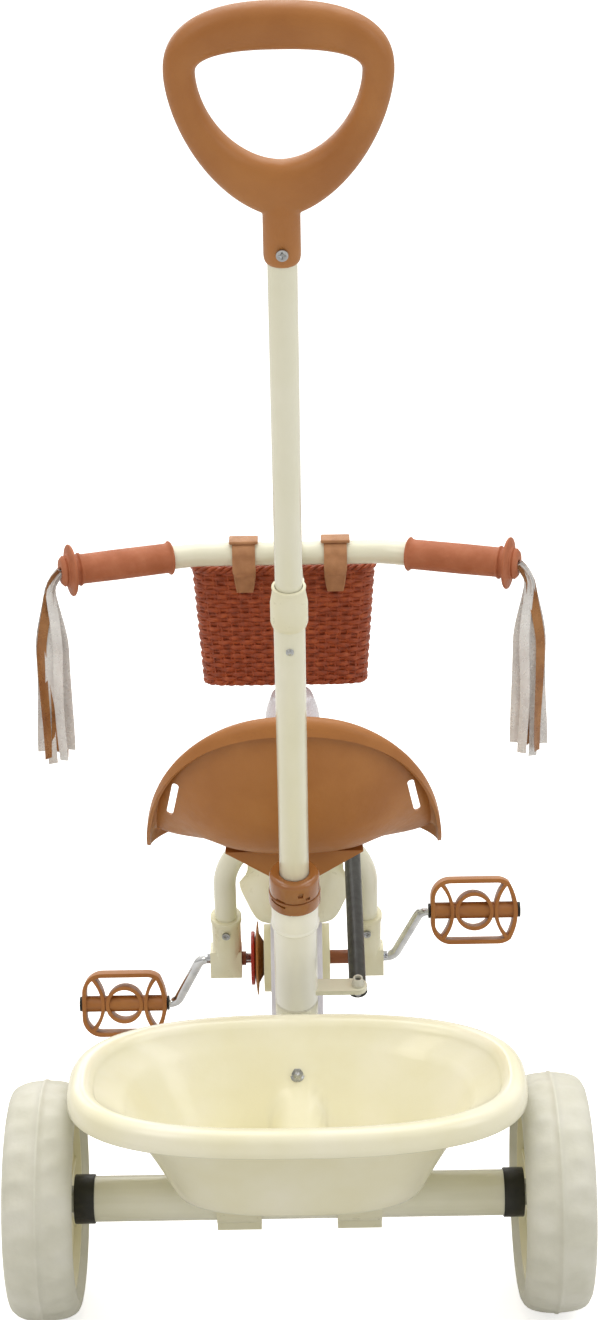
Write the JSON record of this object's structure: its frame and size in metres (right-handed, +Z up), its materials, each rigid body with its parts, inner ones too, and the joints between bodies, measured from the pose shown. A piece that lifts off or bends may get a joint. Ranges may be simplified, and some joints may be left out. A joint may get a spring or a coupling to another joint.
{
  "type": "children's tricycle",
  "caption": "Children's tricycle with a steerable parent push handle, rear bucket, front pedals, raked fork, wicker handlebar basket and ribbon tassels.",
  "frame": {"origin": "on the ground, under the middle of the tricycle's length and width", "axes": "+Y forwards, +X to the rider's right, +Z up"},
  "size_m": [0.4874, 0.7246, 1.0744],
  "materials": {
    "cream_steel": "glossy powder coat",
    "nylon": "satin",
    "zinc_steel": "zinc plated",
    "chrome_steel": "polished",
    "black_plastic": "satin",
    "tan_plastic": "fine moulded grain",
    "tan_gloss": "glossy",
    "bucket_plastic": "glossy",
    "cream_plastic": "satin",
    "ivory_tyre": "blow moulded",
    "pale_tyre": "satin",
    "yellow_rim": "moulded",
    "black_sleeve": "satin",
    "terracotta_grip": "moulded",
    "pearl_shroud": "pearl",
    "ribbon_foil": "pearl and tan ribbon",
    "wicker": "woven",
    "strap_leather": "smooth",
    "red_plastic": "glossy",
    "brown_plastic": "satin"
  },
  "bodies": {
    "frame": {"axle_tube": "cream_steel", "backbone": "cream_steel", "head_tube": "cream_steel", "head_bushes": "nylon", "column_post": "cream_steel", "post_screw": "zinc_steel", "seat_post": "cream_steel", "seat_bracket": "tan_plastic", "seat": "tan_plastic", "seat_bolts": "zinc_steel", "axle_rod": "zinc_steel", "axle_caps": "black_plastic", "axle_fasteners": "zinc_steel", "bucket": "bucket_plastic", "bucket_clips": "cream_plastic", "bucket_bolts": "zinc_steel"},
    "left_rear_wheel": {"rear_tyre_left": "ivory_tyre", "rear_rim_left": "yellow_rim", "hub_cap_left": "cream_plastic"},
    "right_rear_wheel": {"rear_tyre_right": "ivory_tyre", "rear_rim_right": "yellow_rim", "hub_cap_right": "cream_plastic"},
    "column": {"column_tube": "cream_steel", "column_bushes": "nylon", "steering_lever": "cream_steel", "lock_ring": "tan_gloss"},
    "lock": {"lock_cap": "tan_gloss"},
    "link": {"link_rod": "zinc_steel", "link_sleeve": "black_sleeve", "link_clips": "nylon"},
    "push_rod": {"push_tube_lower": "cream_steel", "height_collar": "cream_plastic"},
    "button": {"height_button": "zinc_steel"},
    "push_grip": {"push_tube_upper": "cream_steel", "push_handle": "tan_plastic", "handle_screw": "zinc_steel"},
    "steering": {"fork": "cream_steel", "bearing_block_left": "cream_plastic", "bearing_block_right": "cream_plastic", "crank_bushes": "nylon", "fork_fasteners": "zinc_steel", "mudguard": "cream_plastic", "head_shroud": "pearl_shroud", "stem": "cream_steel", "handlebar": "cream_steel", "grip_left": "terracotta_grip", "grip_right": "terracotta_grip", "tassel_left": "ribbon_foil", "tassel_right": "ribbon_foil"},
    "carrier": {"basket": "wicker", "basket_straps": "strap_leather"},
    "front_wheel": {"front_tyre": "pale_tyre", "front_rim": "yellow_rim"},
    "pedal_crank": {"crank": "chrome_steel", "crank_spacers": "brown_plastic", "pedal_stops": "black_plastic"},
    "clutch": {"clutch_disc": "red_plastic", "clutch_ring": "tan_plastic"},
    "left_pedal": {"pedal_left": "tan_plastic"},
    "right_pedal": {"pedal_right": "tan_plastic"}
  },
  "joints": [
    {"name": "left_rear_wheel_spin", "type": "hinge", "parent": "frame", "child": "left_rear_wheel", "pos_m": [-0.212, -0.21262, 0.1], "axis": [1, 0, 0], "continuous": true},
    {"name": "right_rear_wheel_spin", "type": "hinge", "parent": "frame", "child": "right_rear_wheel", "pos_m": [0.212, -0.21262, 0.1], "axis": [1, 0, 0], "continuous": true},
    {"name": "steering_turn", "type": "hinge", "parent": "frame", "child": "steering", "pos_m": [0, 0.15529, 0.35053], "axis": [0, -0.342, 0.9397], "range_deg": [-35, 35]},
    {"name": "column_turn", "type": "hinge", "parent": "frame", "child": "column", "pos_m": [0, -0.07262, 0.3], "axis": [0, -0.342, 0.9397], "range_deg": [-35, 35]},
    {"name": "link_turn", "type": "hinge", "parent": "column", "child": "link", "pos_m": [0.055, -0.04048, 0.21167], "axis": [0, -0.342, 0.9397], "range_deg": [-35, 35]},
    {"name": "lock_twist", "type": "hinge", "parent": "column", "child": "lock", "pos_m": [0, -0.08357, 0.33007], "axis": [0, -0.342, 0.9397], "range_deg": [0, 40]},
    {"name": "push_rod_lift", "type": "slide", "parent": "column", "child": "push_rod", "axis": [0, -0.342, 0.9397], "range_m": [0, 0.09]},
    {"name": "height_slide", "type": "slide", "parent": "push_rod", "child": "push_grip", "axis": [0, -0.342, 0.9397], "range_m": [-0.055, 0.12]},
    {"name": "button_press", "type": "slide", "parent": "push_rod", "child": "button", "axis": [0, 0.9397, 0.342], "range_m": [0, 0.0025], "stiffness_N_per_m": 600, "springref_m": -0.001},
    {"name": "front_wheel_spin", "type": "hinge", "parent": "steering", "child": "front_wheel", "pos_m": [0, 0.23738, 0.125], "axis": [1, 0, 0], "continuous": true},
    {"name": "crank_spin", "type": "hinge", "parent": "steering", "child": "pedal_crank", "pos_m": [0, 0.23738, 0.125], "axis": [1, 0, 0], "continuous": true},
    {"name": "clutch_slide", "type": "slide", "parent": "pedal_crank", "child": "clutch", "axis": [-1, 0, 0], "range_m": [0, 0.005]},
    {"name": "left_pedal_spin", "type": "hinge", "parent": "pedal_crank", "child": "left_pedal", "pos_m": [-0.177, 0.2579, 0.06862], "axis": [1, 0, 0], "continuous": true},
    {"name": "right_pedal_spin", "type": "hinge", "parent": "pedal_crank", "child": "right_pedal", "pos_m": [0.177, 0.21685, 0.18138], "axis": [1, 0, 0], "continuous": true},
    {"name": "basket_swing", "type": "hinge", "parent": "steering", "child": "carrier", "pos_m": [0, 0.12992, 0.57135], "axis": [1, 0, 0], "range_deg": [0, 20]}
  ],
  "couplings": [
    {"joint": "column_turn", "follows": "steering_turn", "ratio": 1},
    {"joint": "link_turn", "follows": "steering_turn", "ratio": -1},
    {"joint": "crank_spin", "follows": "front_wheel_spin", "ratio": 1}
  ]
}
